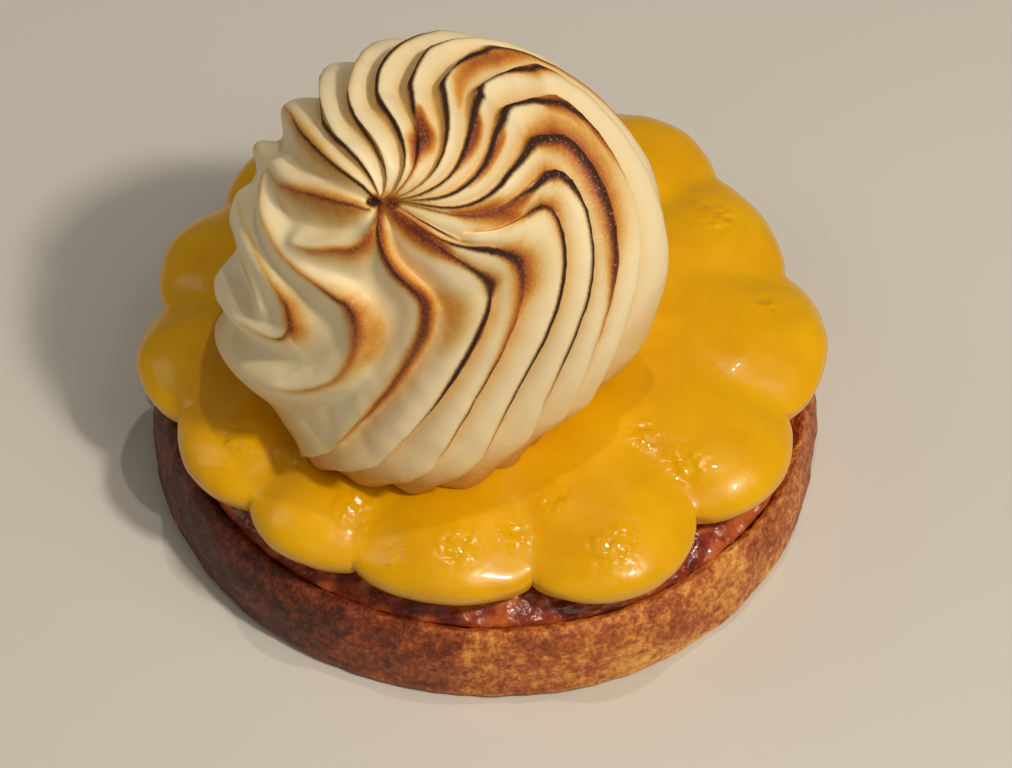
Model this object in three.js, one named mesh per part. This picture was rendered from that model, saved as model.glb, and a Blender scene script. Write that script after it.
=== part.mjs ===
// An individual lemon meringue tart: a baked pastry shell, its baked filling, a scalloped slab of lemon
// curd and one large piped and scorched meringue rosette.
//
// Millimetres, +Z up. The origin is the middle of the tart's underside. -Y is the front, where the
// rosette leans out and its flutes sweep down to the left.
import * as THREE from "three";

// ---- driving sizes -------------------------------------------------------------------------------

const TART_RADIUS = 39.8; // the shell at its widest
const GAP = 0.3; // left between pieces that lie on each other

const FINISHES = {
  pastry_shell: { color: 0xa85a28, roughness: 0.55 },
  baked_filling: { color: 0x8c3a1e, roughness: 0.3 },
  lemon_curd: { color: 0xdda004, roughness: 0.15 },
  meringue: { color: 0xe8d6a8, roughness: 0.5 },
};

const SHELL = {
  columns: 80,
  floor: 8.0, // top of the pastry under the filling
  // Outer wall and rim, from the table up and over: [distance inside the widest radius, height].
  wall: [
    [0.9, 0],
    [0.2, 0.6],
    [0.0, 2.8],
    [0.2, 5.6],
    [0.9, 8.2],
    [1.5, 9.5],
    [2.3, 10.1],
    [3.1, 9.7],
    [3.7, 8.8],
    [4.0, 8.0],
  ],
  // Slow waves of the hand-lined wall: [lobes round the tart, depth, turn in radians].
  waves: [
    [2, 0.15, 1.0],
    [5, 0.15, 0.4],
    [11, 0.12, 2.0],
  ],
  // Where the whole wall is pushed out or in: azimuth, width in degrees, distance.
  pushes: [
    { at: -62, width: 36, by: 0.9 },
    { at: 5, width: 26, by: -0.8 },
  ],
  // Where the lip is thinner and the filling has spread out to it.
  spread: { at: -22, width: 24, by: 1.2 },
};

const FILLING = {
  columns: 64,
  // From its lower edge up and in: [radius, height].
  profile: [
    [35.6, SHELL.floor + GAP],
    [36.0, 9.0],
    [36.5, 9.7],
    [35.2, 10.9],
    [33.2, 12.0],
    [28.0, 12.4],
  ],
};

const CURD = {
  perLobe: 8, // columns in each lobe
  underside: 12.7,
  top: 20.5,
  lip: 9.0, // how far the rounded upper side reaches in from the edge
  undercut: 4.0, // the same on the lower side
  sideRings: 9,
  centre: [0, 1.0],
  creaseDepth: 0.8, // of the creases that run in from the notches
  creaseNarrowing: 3, // higher for narrower creases
  creaseEnd: 22, // radius where a crease has faded out
  edgeSag: 0.4, // fall of the top from the middle to the rounded side
  sagStart: 16, // radius where that fall begins
  innerRadius: 30, // where the rounded side begins, about
  topRings: [25, 20], // radii of the mesh rings across the top
  edgeRounding: 0.7, // of the lobes at the edge: under 1 for full lobes with sharp notches
  topRounding: 2, // of the lobes at the top of the side, where they are soft waves
  // Lobes round the edge: the azimuth of the notch that each starts from, in degrees, the notch's
  // radius, and the reach of the lobe.
  lobes: [
    { from: -82, notch: 36.5, reach: 41.6 },
    { from: -49, notch: 36.2, reach: 40.4 },
    { from: -20, notch: 36.9, reach: 40.2 },
    { from: 13, notch: 36.4, reach: 37.8 },
    { from: 41, notch: 36.9, reach: 40.0 },
    { from: 69, notch: 36.8, reach: 39.8 },
    { from: 95, notch: 36.6, reach: 40.5 },
    { from: 121, notch: 37.0, reach: 39.8 },
    { from: 148, notch: 36.9, reach: 40.4 },
    { from: 174, notch: 37.8, reach: 41.2 },
    { from: 199, notch: 37.6, reach: 39.9 },
    { from: 223, notch: 37.0, reach: 39.6 },
    { from: 246, notch: 37.2, reach: 39.4 },
  ],
};

const MERINGUE = {
  // Mesh rings, closest where the folds are: [from, to, how many], as shares of the way to the foot.
  rings: [
    [0, 0.2, 7],
    [0.2, 0.5, 16],
    [0.5, 1, 13],
  ],
  centre: new THREE.Vector3(-5.6, -4.2, 28.6), // middle of the widest level
  radius: 25.3,
  rise: 35.0, // from the widest level to the top
  belly: 15.0, // semi-axis of the rounding below the widest level
  foot: CURD.top + GAP + 0.1,
  tipTilt: 30, // degrees, from straight up to the pinch that all flutes leave
  tipTurn: -119, // azimuth that the pinch leans towards
  depth: 2.6, // of the deepest valleys between flutes
  fullSpacing: 6.0, // flutes closer together than this have shallower valleys
  pinch: 1.6, // depth of the dimple at the tip
  pinchSpread: 0.05, // how far the dimple reaches, as a share of the way to the foot
  riseRounding: 1.3, // how softly the long rise to the next crest starts
  foldRounding: 2, // over 1 for crests that are soft waves
  feetFrom: 0.72, // from this share of the way on, the flutes turn into round rolls
  feetDepth: 0.5, // share of the full depth of the grooves between those rolls
  footing: 0.7, // from this share of the way on, the relief turns level, to keep the foot flat
  softening: 2, // passes that blend the folds' relief
};

// The dome isn't quite round: places where it is pulled in or stands out, by azimuth and width in
// degrees, as a share of the radius, growing between two stations on the way from the tip to the foot.
const DENTS = [
  { at: -40, width: 32, share: -0.09, grows: [0.25, 0.6] },
  { at: -38, width: 30, share: -0.1, grows: [0.6, 1.0] },
  { at: 5, width: 28, share: -0.03, grows: [0.3, 0.6] },
  { at: -145, width: 35, share: 0.03, grows: [0.5, 1.0] },
  { at: 175, width: 40, share: 0.03, grows: [0.1, 0.4] },
  { at: 40, width: 40, share: 0.06, grows: [0.1, 0.35] },
  { at: 25, width: 28, share: 0.07, grows: [0.3, 0.5] },
  { at: 20, width: 28, share: -0.07, grows: [0.6, 0.75] },
];

// The flutes' crests, counter-clockwise. Each leaves the tip at an azimuth, swings round to its elbow,
// holds there for a while and falls back on the way to the foot. Azimuths are degrees; elbow and hold
// are shares of the way from tip to foot; ease over 1 holds the swing back until just before the elbow;
// drop is the share of the width to the next crest over which the surface falls to the valley behind
// this one, and deep the valley's share of the full depth; a crest with begins shows only from there.
const FLUTES = [
  { from: -88, swing: 29, elbow: 0.245, ease: 3.0, hold: 0, fall: 79, drop: 0.25, deep: 1 },
  { from: -27, swing: 6, elbow: 0.27, ease: 2.2, hold: 0, fall: 110, drop: 0.14, deep: 0.85 },
  { from: -21.5, swing: 17, elbow: 0.25, ease: 5.0, hold: 0.03, fall: 108, drop: 0.14, deep: 0.8 },
  { from: -7, swing: 25, elbow: 0.3, ease: 5.0, hold: 0, fall: 118, drop: 0.14, deep: 0.8, begins: 0.2 },
  { from: -1.5, swing: 30, elbow: 0.31, ease: 3.3, hold: 0.01, fall: 108, drop: 0.14, deep: 0.8 },
  { from: 2, swing: 35, elbow: 0.29, ease: 3.4, hold: 0.05, fall: 102, drop: 0.2, deep: 0.6 },
  { from: 4.5, swing: 41.5, elbow: 0.27, ease: 2.3, hold: 0.1, fall: 105, drop: 0.25, deep: 0.85 },
  { from: 6.5, swing: 47, elbow: 0.26, ease: 1.75, hold: 0.14, fall: 72, drop: 0.3, deep: 0.95 },
  { from: 11, swing: 50, elbow: 0.23, ease: 1.55, hold: 0.13, fall: 40, drop: 0.3, deep: 1 },
  { from: 14, swing: 55, elbow: 0.21, ease: 1.05, hold: 0.08, fall: 27, drop: 0.3, deep: 1 },
  { from: 22, swing: 57, elbow: 0.2, ease: 1.0, hold: 0.03, fall: 19, drop: 0.3, deep: 1 },
  { from: 53, swing: 36, elbow: 0.18, ease: 1.0, hold: 0, fall: 15, drop: 0.32, deep: 1 },
  { from: 84, swing: 17, elbow: 0.15, ease: 1.0, hold: 0, fall: 14, drop: 0.32, deep: 1 },
  { from: 119, swing: 0, elbow: 0.01, ease: 1.0, hold: 0, fall: 16, drop: 0.32, deep: 1 },
  { from: 124, swing: 0, elbow: 0.2, ease: 1.0, hold: 0, fall: 8, drop: 0.32, deep: 1, begins: 0.42 },
];
const FOLD_BAND = FLUTES.length - 1; // the folds lie between the last crest and the first
// Where the mesh's columns stand on the drop behind a crest and on the long rise to the next one, as
// shares of each. The first column is on the crest and the first of the rise is in the valley.
const DROP_SHARES = [0];
const RISE_SHARES = [0, 0.35, 0.7];
const WIDE_DROP_SHARES = [0, 0.5];
const WIDE_RISE_SHARES = [0, 0.25, 0.5, 0.75];
const WIDE_BANDS = [0, 6, 7, 8, 9, 10]; // bands that are wide somewhere on the way
const FOLD_COLUMNS = 54;
const FALL_SCALE = 0.25; // share of the way over which a flute falls back
const FALL_CORNER = 0.35; // how softly the fall starts

// Crests that fold back on themselves where the rope of meringue was laid down, each a run of branches
// that meet at its turns. Points are [share of the way from tip to foot, azimuth in degrees].
const FOLDS = [
  // the long fold: out to the left, back across the front and round under itself
  [
    [0.038, 210],
    [0.067, 170],
    [0.127, 151],
    [0.21, 140],
    [0.265, 133],
    [0.312, 128.5],
    [0.335, 132],
  ],
  [
    [0.335, 132],
    [0.318, 151],
    [0.293, 170],
    [0.2625, 210],
    [0.262, 231],
    [0.276, 245],
    [0.312, 251],
  ],
  [
    [0.312, 251],
    [0.36, 251.5],
    [0.436, 246],
    [0.505, 234],
    [0.5625, 220],
    [0.61, 200],
    [0.69, 180],
    [0.82, 170],
    [1.0, 166],
  ],
  // the ridge inside its first bend
  [
    [0.05, 264],
    [0.1, 250],
    [0.137, 230],
    [0.165, 210],
    [0.215, 190],
    [0.245, 178],
  ],
  // the small fold nested in the long one
  [
    [1.0, 124],
    [0.72, 127],
    [0.56, 131],
    [0.445, 141],
    [0.382, 160],
    [0.353, 185],
    [0.366, 203],
    [0.4, 210],
  ],
  [
    [0.4, 210],
    [0.43, 210],
    [0.45, 207],
    [0.503, 190],
    [0.585, 166],
    [0.72, 154],
    [1.0, 148],
  ],
  // the ridge inside the small fold
  [
    [0.5, 142],
    [0.433, 151],
    [0.4, 168],
    [0.402, 183],
    [0.43, 192],
  ],
];
const CREST_STEPS = 64;
const WAY_STRETCH = 100; // gives shares of the way about the same weight as degrees in a fold's curve

// ---- shared helpers ------------------------------------------------------------------------------

const radians = THREE.MathUtils.degToRad;

const clamp01 = (x) => Math.min(1, Math.max(0, x));

const mix = THREE.MathUtils.lerp;

// 0 before a, 1 after b, smooth between.
function ramp(a, b, x) {
  const s = clamp01((x - a) / (b - a));
  return s * s * (3 - 2 * s);
}

// 1 at an azimuth and falling off to 0 over a width, both in degrees; azimuth is in radians.
function bell(azimuth, at, width) {
  const off = THREE.MathUtils.euclideanModulo(azimuth / radians(1) - at + 180, 360) - 180;
  return Math.exp(-((off / width) ** 2));
}

// Lofts a closed body through rings of equal length, listed from the bottom up and counter-clockwise
// seen from above, with a middle point closing each end. Each cell is split along its shorter diagonal.
function loft(rings, bottom, top) {
  const count = rings[0].length;
  const points = [...rings.flat(), bottom, top];
  const faces = [];
  const at = (i, j) => i * count + (j % count);
  const apart = (a, b) => points[a].distanceTo(points[b]);
  for (let j = 0; j < count; j++)
    faces.push([points.length - 2, at(0, j + 1), at(0, j)]);
  for (let i = 0; i + 1 < rings.length; i++)
    for (let j = 0; j < count; j++) {
      const [a, b, c, d] = [at(i, j), at(i, j + 1), at(i + 1, j + 1), at(i + 1, j)];
      if (apart(a, c) <= apart(b, d)) faces.push([a, b, c], [a, c, d]);
      else faces.push([a, b, d], [b, c, d]);
    }
  for (let j = 0; j < count; j++)
    faces.push([points.length - 1, at(rings.length - 1, j), at(rings.length - 1, j + 1)]);
  const geometry = new THREE.BufferGeometry().setFromPoints(points);
  geometry.setIndex(faces.flat());
  geometry.computeVertexNormals();
  return geometry;
}

// A ring of points at the given azimuths, each placed by a function that gives [radius, height].
function ring(azimuths, place) {
  return azimuths.map((azimuth) => {
    const [radius, height] = place(azimuth);
    return new THREE.Vector3(radius * Math.cos(azimuth), radius * Math.sin(azimuth), height);
  });
}

const evenly = (count) =>
  Array.from({ length: count }, (_, j) => (2 * Math.PI * j) / count);

function part(name, geometry) {
  const material = new THREE.MeshStandardMaterial({ ...FINISHES[name], metalness: 0 });
  const mesh = new THREE.Mesh(geometry, material);
  mesh.name = name;
  return mesh;
}

// ---- pastry shell --------------------------------------------------------------------------------

const RIM_HEIGHT = Math.max(...SHELL.wall.map(([, height]) => height));
const LIP_RING = 5; // the lip's rings lie after this one of the wall's

const total = (numbers) => numbers.reduce((sum, number) => sum + number, 0);

const wallPush = (azimuth) =>
  total(SHELL.pushes.map(({ at, width, by }) => by * bell(azimuth, at, width)));

// How far the wall stands out at an azimuth and height. The waves die out towards rim and table.
function wallShift(azimuth, height) {
  const held = Math.sin(Math.PI * clamp01(height / RIM_HEIGHT));
  const waves = SHELL.waves.map(
    ([lobes, depth, turn]) => depth * Math.sin(lobes * azimuth + turn) * held,
  );
  return total(waves) + wallPush(azimuth);
}

// How much further out the lip's inner side and the filling's edge lie.
const lipSpread = (azimuth) =>
  SHELL.spread.by * bell(azimuth, SHELL.spread.at, SHELL.spread.width);

function pastryShell() {
  const azimuths = evenly(SHELL.columns);
  const rings = SHELL.wall.map(([inset, height], i) =>
    ring(azimuths, (azimuth) => [
      TART_RADIUS - inset + wallShift(azimuth, height) + (i > LIP_RING ? lipSpread(azimuth) : 0),
      height,
    ]),
  );
  const bottom = new THREE.Vector3(0, 0, 0);
  const top = new THREE.Vector3(0, 0, SHELL.floor);
  return part("pastry_shell", loft(rings, bottom, top));
}

// ---- baked filling -------------------------------------------------------------------------------

function bakedFilling() {
  const azimuths = evenly(FILLING.columns);
  const rings = FILLING.profile.map(([radius, height]) =>
    ring(azimuths, (azimuth) => [radius + wallPush(azimuth) + lipSpread(azimuth), height]),
  );
  const bottom = new THREE.Vector3(0, 0, FILLING.profile[0][1]);
  const top = new THREE.Vector3(0, 0, FILLING.profile.at(-1)[1]);
  return part("baked_filling", loft(rings, bottom, top));
}

// ---- lemon curd ----------------------------------------------------------------------------------

// The curd's columns: an azimuth, how near a notch it is (1 in a notch, 0 in the middle of a lobe)
// and a function that gives the radius of the outline there for a rounding of the lobes.
function curdColumns() {
  return CURD.lobes.flatMap((lobe, i) => {
    const next = CURD.lobes[(i + 1) % CURD.lobes.length];
    const width = (next.from - lobe.from + 360) % 360;
    return Array.from({ length: CURD.perLobe }, (_, j) => {
      const across = j / CURD.perLobe;
      const bulge = Math.sin(Math.PI * across);
      const base = lobe.notch + (next.notch - lobe.notch) * across;
      return {
        azimuth: radians(lobe.from + width * across),
        notched: (1 - bulge ** 2) ** CURD.creaseNarrowing,
        outline: (rounding) => base + (lobe.reach - base) * bulge ** rounding,
      };
    });
  });
}

function lemonCurd() {
  const columns = curdColumns();
  const middle = (CURD.underside + CURD.top - CURD.edgeSag) / 2;
  const halfHeight = middle - CURD.underside;
  const place = (column, radius, height) =>
    new THREE.Vector3(
      CURD.centre[0] + radius * Math.cos(column.azimuth),
      CURD.centre[1] + radius * Math.sin(column.azimuth),
      height,
    );
  const crease = (column, radius) =>
    CURD.creaseDepth * column.notched * ramp(CURD.creaseEnd, CURD.innerRadius, radius);
  const rings = [];
  for (let i = 0; i < CURD.sideRings; i++) {
    const swing = Math.PI * (i / (CURD.sideRings - 1) - 0.5);
    const inward = (swing < 0 ? CURD.undercut : CURD.lip) * (1 - Math.cos(swing));
    const upper = clamp01(Math.sin(swing));
    const rounding = CURD.edgeRounding + (CURD.topRounding - CURD.edgeRounding) * upper;
    rings.push(
      columns.map((column) => {
        const radius = column.outline(rounding) - inward;
        const height = middle + halfHeight * Math.sin(swing);
        return place(column, radius, height - crease(column, radius) * ramp(0, 1, upper));
      }),
    );
  }
  for (const radius of CURD.topRings) {
    const sag = CURD.edgeSag * ramp(CURD.sagStart, CURD.innerRadius, radius);
    rings.push(
      columns.map((column) => place(column, radius, CURD.top - sag - crease(column, radius))),
    );
  }
  const bottom = new THREE.Vector3(...CURD.centre, CURD.underside);
  const top = new THREE.Vector3(...CURD.centre, CURD.top);
  return part("lemon_curd", loft(rings, bottom, top));
}

// ---- meringue ------------------------------------------------------------------------------------

const TIP = new THREE.Vector3(
  Math.sin(radians(MERINGUE.tipTilt)) * Math.cos(radians(MERINGUE.tipTurn)),
  Math.sin(radians(MERINGUE.tipTilt)) * Math.sin(radians(MERINGUE.tipTurn)),
  Math.cos(radians(MERINGUE.tipTilt)),
);

// The dome's smooth outer form. way runs from 0 at the tip to 1 at the foot, along the great circle
// from the tip to the foot's ring at the given azimuth.
function domePoint(way, azimuth) {
  const drop = (MERINGUE.foot - MERINGUE.centre.z) / MERINGUE.belly;
  const spread = Math.sqrt(1 - drop * drop);
  const foot = new THREE.Vector3(spread * Math.cos(azimuth), spread * Math.sin(azimuth), drop);
  const arc = Math.acos(THREE.MathUtils.clamp(foot.dot(TIP), -1, 1));
  const direction = TIP.clone()
    .multiplyScalar(Math.sin((1 - way) * arc) / Math.sin(arc))
    .addScaledVector(foot, Math.sin(way * arc) / Math.sin(arc));
  let girth = 1;
  for (const { at, width, share, grows } of DENTS)
    girth += share * ramp(...grows, way) * bell(azimuth, at, width);
  return new THREE.Vector3(
    MERINGUE.centre.x + MERINGUE.radius * girth * direction.x,
    MERINGUE.centre.y + MERINGUE.radius * girth * direction.y,
    MERINGUE.centre.z + (direction.z >= 0 ? MERINGUE.rise : MERINGUE.belly) * direction.z,
  );
}

// Azimuth of a flute's crest at a share of the way from tip to foot.
function fluteAzimuth({ from, swing, elbow, ease, hold, fall }, way) {
  const out = Math.sin((Math.PI / 2) * clamp01(way / elbow) ** ease);
  const past = Math.max(0, (way - elbow - hold) / FALL_SCALE);
  return from + swing * out - fall * (1 - Math.exp((-past * past) / (past + FALL_CORNER)));
}

// Every crest as a line of points on the dome: the flutes in their order, then the folds.
function crestLines() {
  const steps = Array.from({ length: CREST_STEPS + 1 }, (_, i) => i / CREST_STEPS);
  const flutes = FLUTES.map((flute) =>
    steps
      .filter((way) => way >= (flute.begins ?? 0))
      .map((way) => domePoint(way, radians(fluteAzimuth(flute, way)))),
  );
  const folds = FOLDS.map((points) => {
    const curve = new THREE.CatmullRomCurve3(
      points.map(([way, azimuth]) => new THREE.Vector3(WAY_STRETCH * way, azimuth, 0)),
    );
    return curve.getPoints(CREST_STEPS).map(({ x, y }) => domePoint(x / WAY_STRETCH, radians(y)));
  });
  return [...flutes, ...folds];
}

function distanceToLine(point, line) {
  let nearest = Infinity;
  const segment = new THREE.Line3();
  const foot = new THREE.Vector3();
  for (let i = 0; i + 1 < line.length; i++) {
    segment.set(line[i], line[i + 1]);
    segment.closestPointToPoint(point, true, foot);
    nearest = Math.min(nearest, foot.distanceToSquared(point));
  }
  return Math.sqrt(nearest);
}

// A flute's cross-section, from 0 on its crest to 1 on the next one counter-clockwise: a fall that
// eases out in the valley, then a long rounded rise. The result is the share of the valley's depth.
function fluteValley(across, drop) {
  if (across < drop) return Math.sin(((Math.PI / 2) * across) / drop);
  return 1 - Math.sin(((Math.PI / 2) * (across - drop)) / (1 - drop)) ** MERINGUE.riseRounding;
}

// How far the surface lies below the dome at a point in a band. Closely spaced crests have shallower
// valleys. Towards the foot the valleys fill up and the crests sink, which leaves rolls with grooves.
function valleyDepth(point, way, band, crests) {
  const [near, next] = crests
    .map((line, index) => ({ index, away: distanceToLine(point, line) }))
    .sort((a, b) => a.away - b.away);
  const spacing = near.away + next.away;
  const between = spacing > 0 ? near.away / spacing : 0;
  const depth = MERINGUE.depth * Math.min(1, spacing / MERINGUE.fullSpacing);
  const bulge = Math.sin(Math.PI * between);
  if (band >= FOLD_BAND - 1) return depth * bulge ** MERINGUE.foldRounding;
  const { drop, deep } = FLUTES[band];
  const across = near.index <= band ? between : 1 - between;
  const feet = ramp(MERINGUE.feetFrom, 1, way);
  return depth * mix(deep * fluteValley(across, drop), MERINGUE.feetDepth * (1 - bulge), feet);
}

// The mesh's columns follow the flutes: each keeps its share of the way between two crests.
function columnShares() {
  return FLUTES.flatMap((flute, band) => {
    const even = Array.from({ length: FOLD_COLUMNS }, (_, j) => j / FOLD_COLUMNS);
    const wide = WIDE_BANDS.includes(band);
    const { drop } = flute;
    const crowded = [
      ...(wide ? WIDE_DROP_SHARES : DROP_SHARES).map((share) => drop * share),
      ...(wide ? WIDE_RISE_SHARES : RISE_SHARES).map((share) => drop + (1 - drop) * share),
    ];
    const last = band === FOLD_BAND;
    return (last ? even : crowded).map((share) => ({
      band,
      flute,
      next: FLUTES[(band + 1) % FLUTES.length],
      turn: last ? 360 : 0,
      share,
    }));
  });
}

const ringStations = () =>
  MERINGUE.rings.flatMap(([from, to, count]) =>
    Array.from({ length: count }, (_, i) => from + ((to - from) * (i + 1)) / count),
  );

// Blends each depth with its neighbours', but leaves the flutes' own crests sharp.
function soften(depths, columns) {
  const wrap = (j) => (j + columns.length) % columns.length;
  return depths.map((row, i) => {
    const above = depths[Math.max(0, i - 1)];
    const below = depths[Math.min(depths.length - 1, i + 1)];
    return row.map((depth, j) => {
      if (columns[j].band < FOLD_BAND || columns[j].share === 0) return depth;
      return (4 * depth + row[wrap(j - 1)] + row[wrap(j + 1)] + above[j] + below[j]) / 8;
    });
  });
}

function meringue() {
  const crests = crestLines();
  const columns = columnShares();
  const stations = ringStations().reverse();
  const domes = stations.map((way) =>
    columns.map(({ flute, next, turn, share }) => {
      const start = fluteAzimuth(flute, way);
      const end = fluteAzimuth(next, way) + turn;
      return domePoint(way, radians(start + share * (end - start)));
    }),
  );
  let depths = domes.map((row, i) =>
    row.map((point, j) => valleyDepth(point, stations[i], columns[j].band, crests)),
  );
  for (let pass = 0; pass < MERINGUE.softening; pass++) depths = soften(depths, columns);
  const rings = domes.map((row, i) =>
    row.map((outer, j) => {
      const inward = MERINGUE.centre.clone().sub(outer).normalize();
      inward.z *= 1 - ramp(MERINGUE.footing, 1, stations[i]);
      const dimple = MERINGUE.pinch * Math.exp(-((stations[i] / MERINGUE.pinchSpread) ** 2));
      return outer.addScaledVector(inward, depths[i][j] + dimple);
    }),
  );
  const bottom = new THREE.Vector3(MERINGUE.centre.x, MERINGUE.centre.y, MERINGUE.foot);
  const tip = domePoint(0, 0);
  tip.addScaledVector(MERINGUE.centre.clone().sub(tip).normalize(), MERINGUE.pinch);
  return part("meringue", loft(rings, bottom, tip));
}

// ---- the tart ------------------------------------------------------------------------------------

const tart = new THREE.Group();
tart.name = "lemon_meringue_tart";
tart.add(pastryShell(), bakedFilling(), lemonCurd(), meringue());

export default tart;
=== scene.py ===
"""Looks of an individual lemon meringue tart: pastry case, glazed filling, curd slab and rosette.

Shapes are worked out in millimetres, as whole numpy arrays, and put into meshes in metres.
+Z is up, the origin is the middle of the tart's underside and -Y is the front.
"""
from collections import namedtuple

import bpy
import numpy as np
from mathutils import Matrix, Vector


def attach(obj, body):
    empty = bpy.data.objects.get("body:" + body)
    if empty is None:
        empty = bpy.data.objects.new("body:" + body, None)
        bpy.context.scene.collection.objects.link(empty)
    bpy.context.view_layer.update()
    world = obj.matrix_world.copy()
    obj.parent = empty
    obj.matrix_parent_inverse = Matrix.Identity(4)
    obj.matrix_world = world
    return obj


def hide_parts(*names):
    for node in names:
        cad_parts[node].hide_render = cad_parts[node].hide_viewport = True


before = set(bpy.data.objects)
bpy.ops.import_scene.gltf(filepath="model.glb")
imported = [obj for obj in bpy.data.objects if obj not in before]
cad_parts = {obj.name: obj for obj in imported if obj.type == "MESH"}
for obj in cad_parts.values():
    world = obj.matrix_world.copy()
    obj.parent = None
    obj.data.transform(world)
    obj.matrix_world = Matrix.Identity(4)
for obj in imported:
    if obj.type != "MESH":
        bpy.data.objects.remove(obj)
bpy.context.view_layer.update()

MM = 0.001
TINY = 1e-6  # keeps divisions away from zero

# ---- shared sizes, the same as the solids' ---------------------------------------------------

TART_RADIUS = 39.8

# Outer wall and rim, from the table up and over: distance inside the widest radius, height.
CASE_WALL = [
    (0.9, 0.0),
    (0.2, 0.6),
    (0.0, 2.8),
    (0.2, 5.6),
    (0.9, 8.2),
    (1.5, 9.5),
    (2.3, 10.1),
    (3.1, 9.7),
    (3.7, 8.8),
    (4.0, 8.0),
]
CASE_FLOOR = 8.0
RIM_HEIGHT = 10.1
LIP_RING = 5  # row of CASE_WALL after which the inside of the rim begins
CASE_WAVES = [(2, 0.15, 1.0), (5, 0.15, 0.4), (11, 0.12, 2.0)]  # lobes, depth, turn
CASE_PUSHES = [(-62, 36, 0.9), (5, 26, -0.8)]  # azimuth, width, distance
LIP_SPREAD = (-22, 24, 1.2)  # azimuth, width, distance

# Radius and height, from the edge's underside up and in.
FILLING_PROFILE = [(35.6, 8.3), (36.0, 9.0), (36.5, 9.7), (35.2, 10.9), (33.2, 12.0), (28.0, 12.4)]

CURD_UNDERSIDE = 12.7
CURD_TOP = 20.5
CURD_LIP = 9.0  # how far the rounded upper side reaches in from the edge
CURD_UNDERCUT = 4.0  # the same on the lower side
CURD_CENTRE = (0.0, 1.0)
CREASE_DEPTH = 0.8  # of the creases that run in from the notches
CREASE_END = 22.0  # radius where a crease has faded out
CURD_SAG = 0.4  # how far the top falls towards its edge
SAG_START = 16.0
CURD_INNER = 30.0  # radius from which creases and sag are full
CREASE_NARROWING = 3  # higher for narrower creases
EDGE_ROUNDING = 0.7  # lower for fuller lobes at the edge
TOP_ROUNDING = 2.0  # the same where the side meets the top
# azimuth of each lobe's first notch, radius of that notch, reach of the lobe
CURD_LOBES = np.array(
    [
        (-82, 36.5, 41.6),
        (-49, 36.2, 40.4),
        (-20, 36.9, 40.2),
        (13, 36.4, 37.8),
        (41, 36.9, 40.0),
        (69, 36.8, 39.8),
        (95, 36.6, 40.5),
        (121, 37.0, 39.8),
        (148, 36.9, 40.4),
        (174, 37.8, 41.2),
        (199, 37.6, 39.9),
        (223, 37.0, 39.6),
        (246, 37.2, 39.4),
    ]
)

DOME_CENTRE = np.array([-5.6, -4.2, 28.6])
DOME_RADIUS = 25.3
DOME_RISE = 35.0  # from the centre up to the top
DOME_BELLY = 15.0  # from the centre down, for the shape below it
DOME_FOOT = 20.9
TIP_TILT = 30  # degrees, from straight up to the tip that all flutes leave
TIP_TURN = -119  # azimuth that the tip leans towards
VALLEY = 2.6  # full depth between two crests
FULL_SPACING = 6.0  # crests closer together than this have shallower valleys
PINCH = 1.6  # depth of the dimple at the tip
PINCH_SPREAD = 0.05  # how far the dimple reaches, as a share of the way to the foot
RISE_ROUNDING = 1.3
FOLD_ROUNDING = 2.0
FEET_FROM = 0.72  # from this share of the way on, the flutes turn into round rolls
FEET_DEPTH = 0.5  # share of the full depth of the grooves between those rolls
FOOTING = 0.7  # from this share of the way on, the relief turns level, to keep the foot flat
# azimuth, width, share of the radius, and the two ways between which it grows
DENTS = [
    (-40, 32, -0.09, 0.25, 0.6),
    (-38, 30, -0.1, 0.6, 1.0),
    (5, 28, -0.03, 0.3, 0.6),
    (-145, 35, 0.03, 0.5, 1.0),
    (175, 40, 0.03, 0.1, 0.4),
    (40, 40, 0.06, 0.1, 0.35),
    (25, 28, 0.07, 0.3, 0.5),
    (20, 28, -0.07, 0.6, 0.75),
]
# Flutes, counter-clockwise. A crest starts at an azimuth, swings out to its elbow with an ease, holds
# and falls back; it begins some way down from the tip. Of the band up to the next crest, drop is the
# share that goes down, deep the share of the full depth and columns the number in the mesh.
Flute = namedtuple("Flute", "start swing elbow ease hold fall begins drop deep columns")
FLUTES = [
    Flute(-88, 29, 0.245, 3.0, 0, 79, 0, 0.25, 1, 24),
    Flute(-27, 6, 0.27, 2.2, 0, 110, 0, 0.14, 0.85, 14),
    Flute(-21.5, 17, 0.25, 5.0, 0.03, 108, 0, 0.14, 0.8, 14),
    Flute(-7, 25, 0.3, 5.0, 0, 118, 0.2, 0.14, 0.8, 14),
    Flute(-1.5, 30, 0.31, 3.3, 0.01, 108, 0, 0.14, 0.8, 14),
    Flute(2, 35, 0.29, 3.4, 0.05, 102, 0, 0.2, 0.6, 12),
    Flute(4.5, 41.5, 0.27, 2.3, 0.1, 105, 0, 0.25, 0.85, 28),
    Flute(6.5, 47, 0.26, 1.75, 0.14, 72, 0, 0.3, 0.95, 26),
    Flute(11, 50, 0.23, 1.55, 0.13, 40, 0, 0.3, 1, 20),
    Flute(14, 55, 0.21, 1.05, 0.08, 27, 0, 0.3, 1, 18),
    Flute(22, 57, 0.2, 1.0, 0.03, 19, 0, 0.3, 1, 18),
    Flute(53, 36, 0.18, 1.0, 0, 15, 0, 0.32, 1, 18),
    Flute(84, 17, 0.15, 1.0, 0, 14, 0, 0.32, 1, 18),
    Flute(119, 0, 0.01, 1.0, 0, 16, 0, 0.32, 1, 14),
    Flute(124, 0, 0.2, 1.0, 0, 8, 0.42, 0.32, 1, 180),
]
FOLD_BAND = len(FLUTES) - 1
FALL_SCALE = 0.25  # way over which a crest falls back
FALL_CORNER = 0.35  # higher for a softer start of the fall
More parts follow.
